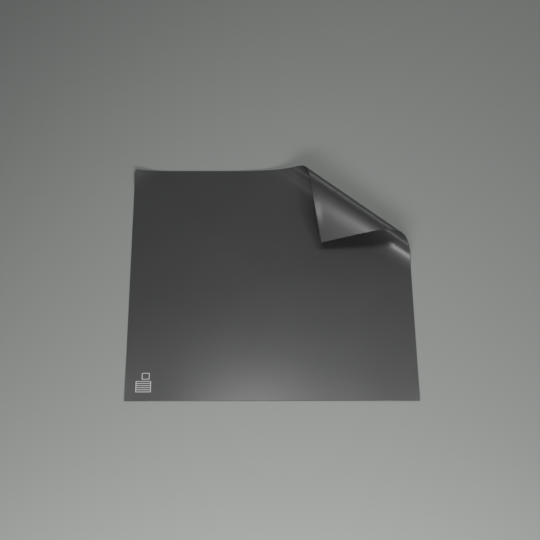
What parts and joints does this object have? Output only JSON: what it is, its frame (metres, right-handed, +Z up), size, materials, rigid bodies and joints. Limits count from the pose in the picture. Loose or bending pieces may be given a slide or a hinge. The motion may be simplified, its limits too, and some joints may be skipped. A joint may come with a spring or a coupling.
{
  "type": "insulating rubber mat",
  "caption": "Square sheet of insulating rubber that lies flat on a floor, with its back right corner turned over on itself and its back left corner slightly curled.",
  "frame": {"origin": "on the floor, under the middle of the sheet", "axes": "+X to the right along the front edge, +Y to the back edge, +Z up, out of the sheet's top face"},
  "size_m": [1.0002, 1.0001, 0.1009],
  "materials": {
    "rubber": "smooth calendered grey-black rubber with a soft sheen"
  },
  "bodies": {
    "root": {"rubber_mat": "rubber"}
  },
  "joints": []
}
